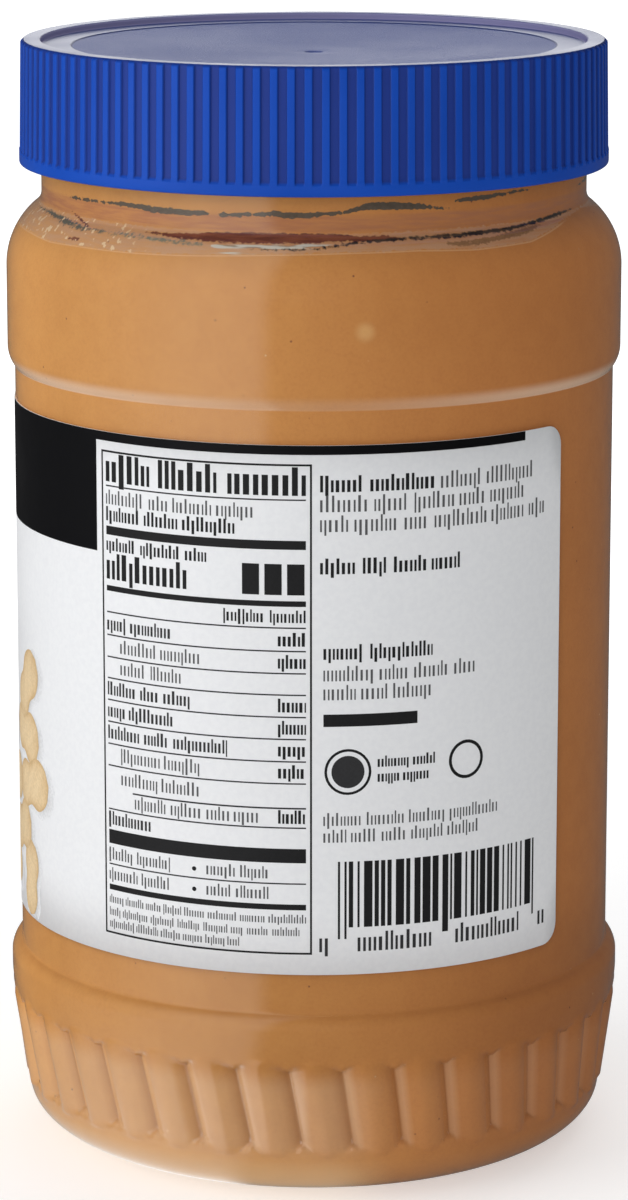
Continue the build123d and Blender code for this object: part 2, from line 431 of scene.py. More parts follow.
def build_label():
    """The label's film: columns of points on its outside and inside, with round corners at its ends."""
    left = radians(LABEL_END - LABEL_WRAP) * LABEL_R
    right = radians(LABEL_END) * LABEL_R
    high = LABEL_HIGH - LABEL_LOW
    rows = 9
    column = 2 * rows
    bend = [LABEL_CORNER * (1 - cos(radians(a))) for a in np.linspace(0, 90, 9)]
    stations = [left + b for b in bend] + list(np.linspace(left + 4, right - 4, 232))
    stations += [right - b for b in bend[::-1]]
    vertices, faces = [], []
    for u in stations:
        inward = min(u - left, right - u)
        cut = 0
        if inward < LABEL_CORNER:
            cut = LABEL_CORNER - sqrt(max(0, LABEL_CORNER**2 - (LABEL_CORNER - inward) ** 2))
        for lift in (0, -LABEL_T):
            vertices += [on_label(u, v, lift) for v in np.linspace(cut, high - cut, rows)]
    for k in range(len(stations) - 1):
        a, b = k * column, (k + 1) * column
        for m in range(rows - 1):
            faces.append((a + m, b + m, b + m + 1, a + m + 1))
            faces.append((a + rows + m + 1, b + rows + m + 1, b + rows + m, a + rows + m))
        faces.append((a, a + rows, b + rows, b))
        faces.append((a + rows - 1, b + rows - 1, b + column - 1, a + column - 1))
    last = (len(stations) - 1) * column
    for m in range(rows - 1):
        faces.append((m, m + 1, m + rows + 1, m + rows))
        faces.append((last + m, last + rows + m, last + rows + m + 1, last + m + 1))
    piece = new_object("label_film", vertices, faces)
    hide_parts("label")
    return piece


class Print:
    """The label's printed shapes, gathered into one mesh with a colour on each corner."""

    def __init__(self):
        self.vertices, self.faces, self.colors = [], [], []

    def grid(self, points, colors, lift):
        """A sheet of quads: points[i][j] = (u, v) and colors[i][j] = (r, g, b)."""
        start, across = len(self.vertices), len(points[0])
        for row in points:
            self.vertices += [on_label(u, v, lift) for u, v in row]
        for i in range(len(points) - 1):
            for j in range(across - 1):
                corner = [(i, j), (i, j + 1), (i + 1, j + 1), (i + 1, j)]
                self.faces.append([start + a * across + b for a, b in corner])
                self.colors += [colors[a][b] for a, b in corner]

    def box(self, u0, u1, v0, v1, color, layers=1):
        """An upright rectangle, cut into columns so that it follows the label's curve."""
        count = max(1, ceil((u1 - u0) / 1.2))
        points = [[(u, v) for u in np.linspace(u0, u1, count + 1)] for v in (v0, v1)]
        self.grid(points, [[color] * (count + 1)] * 2, INK_LIFT * layers)

    def ring(self, u, v, outer, inner, color):
        """A flat ring, or a disc where inner is 0."""
        angles = np.linspace(0, 2 * pi, 33)
        points = [[(u + r * cos(a), v + r * sin(a)) for a in angles] for r in (outer, inner)]
        self.grid(points, [[color] * len(angles)] * 2, INK_LIFT)

    def word(self, u0, u1, v, height, color, weight):
        """A run of plain upright strokes of uneven height, as unreadable small print."""
        u = u0
        pitch = 0.3 * height
        while u < u1 - 0.3 * pitch:
            step = pitch * rng.uniform(0.8, 1.25)
            tall = 0.72 * height if rng.random() < 0.74 else height
            drop = 0.22 * height if rng.random() < 0.1 else 0
            self.box(u, min(u1, u + step * weight), v - drop, v + tall, color)
            u += step

    def line(self, u0, u1, v, height, color, weight):
        """Words of uneven length from u0 to u1, standing on the height v."""
        u = u0
        while u < u1 - 0.5:
            length = height * rng.uniform(1.4, 3.6)
            if u1 - u - length < height * 1.6:
                length = u1 - u
            self.word(u, min(u + length, u1), v, height, color, weight)
            u += length + 0.36 * height


# The print's colours
DEEP = (0.004, 0.004, 0.005)
BLACK = (0.016, 0.016, 0.017)
DARK = (0.035, 0.035, 0.037)
GREY = (0.10, 0.10, 0.105)
WHITE = (0.80, 0.81, 0.83)
TAN = (0.52, 0.30, 0.12)
NUT = (0.80, 0.62, 0.38)
NUT_EDGE = (0.58, 0.38, 0.18)
NUT_SHADE = (0.45, 0.44, 0.43)


def peanut(sheet, u, v, length, turn, fat):
    """A printed peanut in its shell, with its soft shadow."""
    stations = np.linspace(-1, 1, 19)
    across = np.linspace(-1, 1, 9)

    def half_width(s):
        """Half the shell's width at the share s of its half length, with a waist in the middle."""
        end = sqrt(max(0.0, 1 - abs(s) ** 2.6))
        waist = 1 - 0.24 * np.exp(-((s + 0.05) / 0.28) ** 2)
        return 0.29 * length * fat * end * waist * (1.0 + 0.08 * s)

    def placed(s, t, grow, du, dv):
        """A point of the shell, s along it and t across it, grown and moved."""
        x, y = 0.5 * length * s * grow, t * half_width(s) * grow
        return (u + du + x * cos(turn) - y * sin(turn), v + dv + x * sin(turn) + y * cos(turn))

    def kept(point):
        """The point, moved onto the label if it lies above or below it."""
        return (point[0], min(max(point[1], 0.25), LABEL_HIGH - LABEL_LOW - 0.25))

    def mixed(a, b, share):
        """A colour between a and b."""
        return tuple(x + (y - x) * share for x, y in zip(a, b))

    shade = [[kept(placed(s, t, 1.16, 0.9, -0.5)) for t in across] for s in stations]
    soft = [[mixed(NUT_SHADE, WHITE, max(t * t, abs(s) ** 3) ** 0.6) for t in across] for s in stations]
    body = [[kept(placed(s, t, 1, 0, 0)) for t in across] for s in stations]
    tone = []
    for s in stations:
        row = []
        for t in across:
            dent = 0.5 + 0.5 * sin(s * 17) * cos(t * 6 + s * 5)
            row.append(mixed(NUT, NUT_EDGE, min(1, 0.75 * max(abs(t), abs(s)) ** 4 + 0.28 * dent)))
        tone.append(row)
    sheet.grid(shade, soft, INK_LIFT)
    sheet.grid(body, tone, INK_LIFT * 2)


def facts_panel(sheet):
    """The framed table: rules and bars, with unreadable text in its rows."""
    left, right, low, high = -35.1, -0.3, 3.2, 78.5
    for u0, u1, v0, v1 in (
        (left, right, high - 0.3, high), (left, right, low, low + 0.3),
        (left, left + 0.3, low, high), (right - 0.3, right, low, high),
    ):
        sheet.box(u0, u1, v0, v1, BLACK)
    start, end = left + 0.9, right - 0.9
    for v0, v1 in ((65.6, 66.95), (56.95, 57.8), (17.5, 19.7), (10.15, 11.03)):
        sheet.box(start, end, v0, v1, BLACK)
    for v in (73.1, 53.7, 50.15, 46.75, 43.45, 40.05, 36.65, 33.2, 29.8, 22.95, 14.25):
        sheet.box(start, end, v - 0.11, v + 0.11, DARK)
    sheet.box(start + 4.8, end, 25.85, 26.1, DARK)
    sheet.line(start, start + 19.5, 73.75, 4.3, BLACK, 0.62)
    sheet.line(start + 21.2, end, 73.75, 4.3, BLACK, 0.62)
    sheet.line(start, start + 25.5, 70.3, 2.2, GREY, 0.42)
    sheet.line(start, start + 22.5, 67.75, 2.2, BLACK, 0.55)
    sheet.line(start, start + 18, 63.2, 2.0, BLACK, 0.55)
    sheet.word(start, start + 15, 58.8, 4.0, BLACK, 0.6)
    for k in range(3):
        sheet.box(end - 9.6 + 3.4 * k, end - 7.0 + 3.4 * k, 58.7, 63.4, BLACK)
    sheet.line(end - 12.5, end, 54.5, 1.9, BLACK, 0.52)
    rows = (
        (50.9, 0, 12, 1, 1), (47.5, 2.6, 14.5, 0, 1), (44.2, 2.6, 11, 0, 0), (40.8, 0, 15, 1, 1),
        (37.4, 0, 12.5, 1, 1), (34.0, 0, 21, 1, 1), (30.6, 2.6, 14, 0, 1), (27.0, 2.6, 14, 0, 0),
        (23.6, 5.2, 20.5, 0, 1), (20.5, 0, 8.5, 1, 0),
    )
    for v, indent, length, bold, share in rows:
        color, weight = (DARK, 0.55) if bold else (GREY, 0.42)
        sheet.line(start + indent, start + indent + length, v, 2.1, color, weight)
        if share:
            sheet.word(end - 4.2, end, v, 2.1, BLACK, 0.6)
    for v in (15.0, 11.8):
        sheet.line(start, start + 11.5, v, 1.9, GREY, 0.45)
        sheet.ring(start + 15.6, v + 0.7, 0.35, 0, BLACK)
        sheet.line(start + 17.6, start + 27.5, v, 1.9, GREY, 0.45)
    for v, length in ((8.1, 33), (6.1, 32), (4.2, 23)):
        sheet.line(start, start + length, v, 1.35, GREY, 0.45)


def side_text(sheet):
    """Text, plain badges and a block of stripes to the right of the table."""
    for u0, u1, v, height, color, weight in (
        (0.9, 18.3, 74.3, 2.5, BLACK, 0.58), (19.4, 37, 74.2, 2.5, GREY, 0.42),
        (0.9, 34.8, 71.3, 2.5, GREY, 0.42), (0.9, 39.5, 68.3, 2.5, GREY, 0.42),
        (0.9, 22.7, 61.9, 2.4, BLACK, 0.55), (1.4, 18.2, 48.9, 2.3, BLACK, 0.55),
        (1.4, 25.4, 45.6, 2.3, GREY, 0.42), (1.4, 18.3, 42.7, 2.3, GREY, 0.42),
    ):
        sheet.line(u0, u1, v, height, color, weight)
    sheet.box(1.4, 15.8, 38.6, 40.5, BLACK)
    sheet.ring(5.1, 31.6, 3.55, 3.15, BLACK)
    sheet.ring(5.1, 31.6, 2.5, 0, DARK)
    sheet.line(9.6, 18.9, 32.2, 1.7, BLACK, 0.58)
    sheet.line(9.6, 17.9, 29.9, 1.7, BLACK, 0.58)
    sheet.ring(24.0, 32.2, 3.0, 2.5, BLACK)
    sheet.line(1.4, 30, 23.3, 2.0, GREY, 0.42)
    sheet.line(1.4, 26.6, 20.7, 2.0, GREY, 0.42)
    u, dark = 3.6, True
    while u < 37.4:
        width = rng.choice((0.33, 0.33, 0.66, 0.66, 0.99, 1.3) if dark else (0.33, 0.33, 0.33, 0.66, 0.66))
        guard = u < 5 or 19.8 < u < 21.3 or u > 36
        if dark:
            sheet.box(u, min(u + width, 37.5), 5.6 if guard else 7.4, 17.7, BLACK)
        u, dark = u + width, not dark
    for start, length in ((0.8, 1.5), (6.6, 12.0), (22.3, 12.0), (38.6, 1.5)):
        sheet.word(start, start + length, 3.6, 3.0, DARK, 0.5)


def front_panel(sheet):
    """The label's far side: a dark field with plain bars, peanuts, and a block of unreadable text."""
    left = radians(LABEL_END - LABEL_WRAP) * LABEL_R
    high = LABEL_HIGH - LABEL_LOW
    sheet.box(left + 3.3, -36.2, 62.8, high - 0.02, DEEP)
    sheet.box(left + 0.02, left + 3.3, 62.8, high - 3.3, DEEP)
    # The field's round upper corner, in narrow steps
    steps = 8
    for k in range(steps):
        a, b = radians(90 * k / steps), radians(90 * (k + 1) / steps)
        near = left + 0.03 + LABEL_CORNER * (1 - cos(a))
        low, top = high - 3.32 + LABEL_CORNER * sin(a) * 0.98, high - 3.3 + LABEL_CORNER * sin(b) * 0.98
        sheet.box(near, left + 3.32, low, top, DEEP)
    sheet.box(-36.2, 34.8, 79.9, high - 0.02, DEEP)
    sheet.box(-152, -92, 68.4, 75.4, WHITE, 2)
    sheet.box(-141, -103, 65.2, 66.4, WHITE, 2)
    sheet.box(-150, -94, 51.5, 57.5, TAN)
    sheet.box(-140, -104, 46.8, 48.4, GREY)
    sheet.box(-134, -110, 43.6, 44.6, GREY)
    # Peanuts as (u, v, length, turn in radians, fatness); the first few are those that show from the front
    spots = (
        (-59.8, 37.3, 14.0, 0.8, 1.0), (-60.7, 29.5, 14.0, -0.15, 1.05), (-57.6, 21.8, 15.0, 0.15, 1.0),
        (-64.2, 13.6, 13.0, 0.3, 1.1), (-58.4, 6.4, 12.5, 1.5, 1.05), (-70.5, 19.8, 14.0, 0.4, 1.0),
        (-72, 8.2, 14.0, 2.6, 1.0), (-76, 30.5, 14.0, 2.2, 1.0), (-84, 20.5, 15, 0.9, 1.0),
        (-86, 9.2, 14, 0.2, 1.0), (-96, 27, 14, 2.9, 1.0), (-98, 15, 15, 1.8, 1.0), (-101, 6, 13, 0.1, 1.0),
        (-110, 24.5, 14, 0.5, 1.0), (-113, 11, 15, 2.4, 1.0), (-122, 30, 13.5, 1.2, 1.0),
        (-126, 17, 15, 0.3, 1.0), (-128, 6, 14, 2.9, 1.0), (-138, 24, 14, 2.2, 1.0), (-141, 11, 15, 0.9, 1.0),
        (-150, 31, 13, 0.2, 1.0), (-153, 19, 14, 1.5, 1.0), (-154, 6.5, 14, 0.1, 1.0),
    )
    for u, v, length, turn, fat in spots:
        peanut(sheet, u, v, length, turn, fat)
    for k in range(11):
        length = rng.uniform(26, 34) if k % 4 < 3 else 16
        sheet.line(-208, -208 + length, 55 - 3.4 * k, 2.1, GREY, 0.42)
    sheet.line(-208, -186, 58.6, 2.6, BLACK, 0.58)


def build_print():
    """The whole print; the order of its parts settles the random draws."""
    sheet = Print()
    front_panel(sheet)
    facts_panel(sheet)
    side_text(sheet)
    piece = new_object("label_print", sheet.vertices, sheet.faces)
    ink = piece.data.color_attributes.new("ink", "FLOAT_COLOR", "CORNER")
    ink.data.foreach_set("color", np.array([(*c, 1) for c in sheet.colors], np.float32).ravel())
    return piece


# ---------------------------------------------------------------- cap


def cap_outline():
    """The cap's section in a groove: down the inside, round the band, up the skirt and over the top."""
    dish_r = (DISC_R**2 + DISH**2) / (2 * DISH)
    dish_z = DISC_Z - DISH
    under = RIM_Z + 0.02
    outline = [(0.8, under), (20, under), (CAP_IN_R - 0.6, under), (CAP_IN_R, under - 0.6)]
    outline += [(CAP_IN_R, under - 8), (CAP_IN_R, CAP_LOW + 0.3), (CAP_IN_R + 0.2, CAP_LOW)]
    outline += arc((BAND_R - 0.4, CAP_LOW + 0.4), 0.4, -90, 0, 5)
    outline += arc((BAND_R - 0.35, BAND_TOP - 0.75), 0.35, 0, 70, 4)
    outline += [(GROOVE_R + DRAFT + 0.12, BAND_TOP - 0.12), (GROOVE_R + DRAFT, BAND_TOP + 0.05)]
    heights = (BAND_TOP + 0.4, BAND_TOP + 3, BAND_TOP + 8, GRIP_TOP - 1.0, GRIP_TOP - 0.5, GRIP_TOP - 0.2)
    outline += [(GROOVE_R + DRAFT * (GRIP_TOP - z) / (GRIP_TOP - BAND_TOP), z) for z in heights]
    outline += arc((GROOVE_R - CAP_EDGE, CAP_TOP - CAP_EDGE), CAP_EDGE, 0, 90, 7)
    outline += arc((RIM_IN_R + 0.4, CAP_TOP - 0.4), 0.4, 90, 180, 5)
    outline += arc((RIM_IN_R - 0.25, PLATE_Z + 0.25), 0.25, 0, -90, 4)
    outline += [(40, PLATE_Z), (DISC_R + 0.2, PLATE_Z), (DISC_R + 0.05, PLATE_Z), (DISC_R, PLATE_Z - 0.03)]
    outline += [(DISC_R - 0.08, DISC_Z), (DISC_R - 0.3, DISC_Z)]
    outline += [(r, dish_z + dish_r - sqrt(dish_r**2 - r**2)) for r in (33, 26, 18, 10, 5, 1.6)]
    outline += [(1.42, dish_z - 0.05), (1.3, dish_z - 0.25), (0.3, dish_z - 0.25)]
    return np.array(outline)


def build_cap():
    """The ribbed cap, with a value a vertex for each part of it that gets a colour of its own; some of these
    colours are painted shade and sheen.
    """
    # A bar's columns of points, from the middle of one groove over 0 on the bar
    sides = np.array([-1, -0.6, -0.51, -0.42, -0.34, 0, 0.34, 0.42, 0.51, 0.6])
    side = np.tile(sides, GRIP_COUNT)
    pitch = 360 / GRIP_COUNT
    angles = np.repeat(np.arange(GRIP_COUNT) * pitch, len(sides)) + side * pitch / 2 + GRIP_PHASE
    bar = smooth((0.51 - np.abs(side)) / 0.1)
    flank_shade = 1 - smooth(np.abs(np.abs(side) - 0.5) / 0.11)
    p = cap_outline()
    r, z, n = p[:, 0], p[:, 1], normals(p)
    on_skirt = (r > GROOVE_R - 0.7) & (z > BAND_TOP - 0.6) & (z < CAP_TOP - 0.1)
    grip_end = smooth((CAP_TOP - CAP_EDGE * 0.7 - z) / 0.2)
    out = (GRIP_OUT * on_skirt * grip_end)[:, None] * bar[None, :]
    out = np.minimum(out, np.clip(BAND_R - r, 0, None)[:, None])
    around = np.repeat(angles[None], len(p), 0)
    points = turned(r[:, None] + np.sign(n[:, :1]) * out, np.repeat(p[:, 1:], len(side), 1), around)
    rows, columns = points.shape[:2]
    piece = new_object("screw_cap", points.reshape(-1, 3), ring_faces(rows, columns))
    # Painted shade and reflection in the grooves, and painted shade at the bars' feet and just under the
    # rim's edge
    in_groove = (r > GROOVE_R - 0.05) & (z > BAND_TOP - 0.3) & (z < CAP_TOP - CAP_EDGE * 0.3)
    under_rim = (r > GROOVE_R - 0.15) & (z > GRIP_TOP - 0.1) & (z < CAP_TOP - CAP_EDGE * 0.35)
    point_values(piece, "groove", in_groove[:, None] * (1 - bar[None, :]))
    point_values(piece, "flank_shade", np.maximum(in_groove[:, None] * flank_shade[None, :], under_rim[:, None]))
    # The rim's top, its inner wall with a painted grey sheen, the seam round the disc, and the matt disc,
    # whose greyer tone stands in partly for its sheen
    by_row = {
        "ring": (z > PLATE_Z - 0.01) & (r < GROOVE_R - 0.05),
        "inner": (r < RIM_IN_R + 0.15) & (z > PLATE_Z + 0.03),
        "seam": (r < DISC_R + 0.1) & (r > DISC_R - 0.2) & (z > DISC_Z - DISH),
        "disc": smooth((DISC_R - 0.04 - r) / 0.05) * (z > DISC_Z - DISH - 0.3),
    }
    for name, values in by_row.items():
        point_values(piece, name, np.repeat(values[:, None], columns, 1))
    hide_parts("cap")
    return piece


# ---------------------------------------------------------------- materials


def material(name):
    """A new material with an empty node tree."""
    made = bpy.data.materials.new(name)
    made.use_nodes = True
    made.node_tree.nodes.clear()
    return made


def node(tree, kind, inputs=None, **settings):
    """A shader node; inputs maps a socket's name or number to a value or to another node's output."""
    made = tree.nodes.new("ShaderNode" + kind)
    for key, value in settings.items():
        setattr(made, key, value)
    for key, value in (inputs or {}).items():
        if isinstance(value, bpy.types.NodeSocket):
            tree.links.new(value, made.inputs[key])
        else:
            made.inputs[key].default_value = value
    return made


def surface(made, shader):
    """Shows a shader on the material, and returns the material."""
    node(made.node_tree, "OutputMaterial", {"Surface": shader})
    return made


def noise(tree, scale, detail=3.0, stretch=(1, 1, 1)):
    """Noise in the object's own space; scale is in grains a metre."""
    where = node(tree, "TexCoord").outputs["Object"]
    spread = node(tree, "Mapping", {"Vector": where, "Scale": stretch}).outputs[0]
    inputs = {"Vector": spread, "Scale": scale, "Detail": detail}
    return node(tree, "TexNoise", inputs).outputs["Fac"]


def maths(tree, operation, a, b=0.0):
    """The result of one Math node."""
    return node(tree, "Math", {0: a, 1: b}, operation=operation).outputs[0]


def times(tree, first, *rest):
    """The product of two values or more."""
    for value in rest:
        first = maths(tree, "MULTIPLY", first, value)
    return first


def ramp(tree, value, low, high, out_low=0.0, out_high=1.0):
    """A smooth step of value, from out_low at low to out_high at high."""
    return node(
        tree, "MapRange",
        {"Value": value, "From Min": low, "From Max": high, "To Min": out_low, "To Max": out_high},
        interpolation_type="SMOOTHSTEP",
    ).outputs[0]


def band(tree, value, rise, fall):
    """A mask that rises from 0 between the two values of rise and falls back between the two of fall."""
    return times(tree, ramp(tree, value, *rise), ramp(tree, value, *fall, 1, 0))


def mix(tree, factor, a, b, blend="MIX"):
    """Two colours mixed: a where factor is 0, b where it is 1."""
    made = node(tree, "Mix", data_type="RGBA", blend_type=blend)
    for socket, value in ((made.inputs[0], factor), (made.inputs[6], a), (made.inputs[7], b)):
        if isinstance(value, bpy.types.NodeSocket):
            tree.links.new(value, socket)
        elif isinstance(value, (int, float)):
            socket.default_value = value
        else:
            socket.default_value = (*value, 1)
    return made.outputs[2]


def tint(tree, factor, color, by):
    """A colour multiplied by another, where factor is 1."""
    return mix(tree, factor, color, mix(tree, 1.0, color, by, "MULTIPLY"))


def value_of(tree, name):
    """A number that the piece stores for each vertex."""
    return node(tree, "Attribute", attribute_name=name).outputs["Fac"]


def bump(tree, height, distance, strength=1.0):
    """A normal bent by a height that counts for distance, in metres."""
    return node(tree, "Bump", {"Height": height, "Distance": distance, "Strength": strength}).outputs[0]


def ragged(tree, name, grain, amount, soft):
    """A mask from a piece's stored distance, with an uneven edge."""
    wobble = times(tree, maths(tree, "SUBTRACT", grain, 0.5), amount)
    return ramp(tree, maths(tree, "ADD", value_of(tree, name), wobble), 0, soft)


def principled(made, color, roughness, specular, normal):
    """Finishes a material with an opaque surface, and returns it."""
    inputs = {"Base Color": color, "Roughness": roughness, "Specular IOR Level": specular, "Normal": normal}
    return surface(made, node(made.node_tree, "BsdfPrincipled", inputs).outputs[0])


def clear_plastic():
    """Faintly wavy clear plastic that lets shadow and diffuse rays straight through."""
    made = material("clear_plastic")
    tree = made.node_tree
    rough = ramp(tree, noise(tree, 60, 2), 0.3, 0.7, 0.02, 0.06)
    waves = bump(tree, noise(tree, 90, 1, (1, 1, 0.3)), 0.00002)
    glass = node(
        tree, "BsdfPrincipled",
        {"Base Color": (0.97, 0.965, 0.95, 1), "Roughness": rough, "IOR": 1.57, "Transmission Weight": 1.0,
         "Normal": waves},
    ).outputs[0]
    clear = node(tree, "BsdfTransparent").outputs[0]
    path = node(tree, "LightPath").outputs
    bounced = node(tree, "MixShader", {0: path["Is Diffuse Ray"], 1: glass, 2: clear}).outputs[0]
    return surface(made, node(tree, "MixShader", {0: path["Is Shadow Ray"], 1: bounced, 2: clear}).outputs[0])


def butter_grain(tree, broad, where):
    """The filling's own colour: broad and fine mottling, dark specks and a few pale ones."""
    color = mix(tree, ramp(tree, broad, 0.35, 0.65), (0.55, 0.245, 0.060), (0.59, 0.27, 0.074))
    color = mix(tree, ramp(tree, noise(tree, 1800, 2), 0.35, 0.75, 0, 0.25), color, (0.46, 0.185, 0.05))
    color = mix(tree, ramp(tree, noise(tree, 330, 4), 0.35, 0.7, 0, 0.28), color, (0.64, 0.31, 0.085))
    cells = node(tree, "TexVoronoi", {"Vector": where, "Scale": 300.0, "Randomness": 1.0}).outputs
    speck = ramp(tree, cells["Distance"], 0.02, 0.075, 1, 0)
    chosen = node(tree, "SeparateColor", {"Color": cells["Color"]}).outputs
    color = mix(tree, times(tree, speck, ramp(tree, chosen[0], 0.6, 0.65)), color, (0.22, 0.08, 0.035))
    return mix(tree, times(tree, speck, ramp(tree, chosen[1], 0.9, 0.94)), color, (0.75, 0.50, 0.25))


def butter_light(tree, color, side, height):
    """The light painted on the filling: darker to the right, with shaded ribs and a pale heel."""
    color = tint(tree, ramp(tree, side, -0.03, 0.042), color, (0.87, 0.69, 0.58))
    low_right = times(tree, ramp(tree, height, 0.02, 0.055, 1, 0), ramp(tree, side, 0.010, 0.036))
    color = tint(tree, low_right, color, (0.81, 0.77, 0.73))
    bulge = band(tree, height, (0.016, 0.026), (0.034, 0.045))
    color = tint(tree, times(tree, bulge, ramp(tree, side, -0.04, 0.0, 0.2, 1)), color, (0.88, 0.88, 0.86))
    color = tint(tree, ramp(tree, side, -0.047, -0.037, 1, 0), color, (1.22, 1.22, 1.15))
    ribbed = band(tree, height, (0.007, 0.010), (0.019, 0.023))
    ribbed = times(tree, ribbed, ramp(tree, side, 0.004, 0.012, 0.15, 0.03))
    color = mix(tree, ribbed, color, (0.95, 0.80, 0.60))
    color = tint(tree, times(tree, value_of(tree, "hollow"), 0.75), color, (0.70, 0.63, 0.56))
    lit = times(tree, value_of(tree, "lit"), ramp(tree, side, 0.015, 0.045, 0.2, 0.08))
    color = mix(tree, lit, color, (0.90, 0.66, 0.44))
    heel = times(tree, ramp(tree, height, 0.001, 0.010, 1, 0), ramp(tree, side, 0.002, 0.014, 1, 0.2))
    return mix(tree, heel, color, (0.92, 0.63, 0.33))


def butter_crease(tree, color, side, height, where):
    """A painted highlight along the upper crease, stronger towards both sides, and a pale bubble above it."""
    line = band(tree, height, (0.1238, 0.1241), (0.1247, 0.1263))
    spread = ramp(tree, maths(tree, "ABSOLUTE", side), 0, 0.044, 0.2, 0.8)
    color = mix(tree, times(tree, line, spread), color, (0.80, 0.58, 0.42))
    bubble = node(tree, "VectorMath", {0: where, 1: (0.0075, -0.0467, 0.1357)}, operation="DISTANCE")
    return mix(tree, ramp(tree, bubble.outputs["Value"], 0.0004, 0.0020, 0.35, 0), color, (0.82, 0.54, 0.23))


def butter_neck(tree, color, side, height, jag, streaks):
    """The veil of filling, oil, a stain and crumbs round the neck, gaps painted dark grey for the shade in
    them, and a painted grey glint and a painted bright glint on the shoulder.
    """
    veil = ragged(tree, "veil", jag, 0.9, 0.25)
    filmy = times(tree, veil, ramp(tree, streaks, 0.35, 0.65, 0.35, 0.65))
    color = mix(tree, filmy, color, (0.50, 0.30, 0.19))
    fringe = band(tree, value_of(tree, "veil"), (-0.16, -0.02), (0.0, 0.14))
    fringe = times(tree, fringe, ramp(tree, height, 0.1480, 0.1485, 0.45, 0))
    color = mix(tree, fringe, color, (0.72, 0.45, 0.24))
    oil = mix(tree, ramp(tree, streaks, 0.35, 0.65), (0.13, 0.035, 0.02), (0.23, 0.07, 0.035))
    color = mix(tree, ragged(tree, "oil", jag, 0.8, 0.2), color, oil)
    # A painted grey glint on the shoulder's left
    grey_glint = mix(tree, ramp(tree, side, -0.034, -0.028), (0.10, 0.095, 0.075), (0.19, 0.18, 0.125))
    color = mix(tree, ragged(tree, "grey_glint", jag, 1.2, 0.4), color, grey_glint)
    # A painted bright glint along the shoulder
    bright = mix(tree, ramp(tree, streaks, 0.4, 0.55), (0.22, 0.18, 0.13), (0.56, 0.52, 0.44))
    color = mix(tree, ragged(tree, "bright", streaks, 1.0, 0.3), color, bright)
    stain = mix(tree, jag, (0.16, 0.065, 0.028), (0.36, 0.18, 0.07))
    color = mix(tree, ragged(tree, "stain", jag, 1.0, 0.25), color, stain)
    crumbs = times(tree, ramp(tree, noise(tree, 950, 1), 0.6, 0.66), ramp(tree, side, -0.03, -0.022, 1, 0))
    crumbs = times(tree, crumbs, veil)
    color = mix(tree, crumbs, color, (0.70, 0.50, 0.30))
    # The thin gap line, painted dark for the shade in it
    gap_line_shade = mix(tree, ramp(tree, streaks, 0.4, 0.65), (0.018, 0.012, 0.010), (0.085, 0.055, 0.035))
    color = mix(tree, ragged(tree, "streak", jag, 0.8, 0.25), color, gap_line_shade)
    # Gaps between the filling and the wall, painted dark grey for the shade and reflection in them
    gap = mix(tree, jag, (0.05, 0.035, 0.022), (0.13, 0.10, 0.07))
    return mix(tree, ragged(tree, "gap", jag, 0.9, 0.1), color, gap)


def peanut_butter():
    """The filling seen through the wall: its grain, the light on it, and what lies round the neck."""
    made = material("peanut_butter")
    tree = made.node_tree
    where = node(tree, "TexCoord").outputs["Object"]
    place = node(tree, "SeparateXYZ", {"Vector": where}).outputs
    side, height = place["X"], place["Z"]
    broad = noise(tree, 28, 3)
    jag = noise(tree, 1500, 3)
    streaks = noise(tree, 700, 3, (0.3, 0.3, 3))
    color = butter_grain(tree, broad, where)
    color = butter_light(tree, color, side, height)
    smear = band(tree, height, (0.1492, 0.1500), (0.1518, 0.1526))
    color = mix(tree, times(tree, smear, ramp(tree, streaks, 0.3, 0.7, 0.45, 1)), color, (0.40, 0.155, 0.065))
    color = butter_crease(tree, color, side, height, where)
    color = butter_neck(tree, color, side, height, jag, streaks)
    rough = ramp(tree, broad, 0.3, 0.7, 0.5, 0.62)
    return principled(made, color, rough, 0.3, bump(tree, noise(tree, 400, 3), 0.0001, 0.4))


def label_film():
    """White film with a faint fibre."""
    made = material("label_film")
    tree = made.node_tree
    color = mix(tree, ramp(tree, noise(tree, 1200, 3), 0.3, 0.7), (0.80, 0.81, 0.83), (0.83, 0.84, 0.855))
    rough = ramp(tree, noise(tree, 70), 0.3, 0.7, 0.38, 0.5)
    return principled(made, color, rough, 0.2, bump(tree, noise(tree, 160, 2), 0.00003))


def label_ink():
    """The print's stored colours, slightly patchy."""
    made = material("label_ink")
    tree = made.node_tree
    ink = node(tree, "Attribute", attribute_name="ink").outputs["Color"]
    patchy = ramp(tree, noise(tree, 2500, 2), 0.3, 0.7, 0.92, 1.06)
    color = node(tree, "HueSaturation", {"Color": ink, "Value": patchy}).outputs[0]
    rough = ramp(tree, noise(tree, 70), 0.3, 0.7, 0.45, 0.6)
    inputs = {"Base Color": color, "Roughness": rough, "Specular IOR Level": 0.15}
    return surface(made, node(tree, "BsdfPrincipled", inputs).outputs[0])


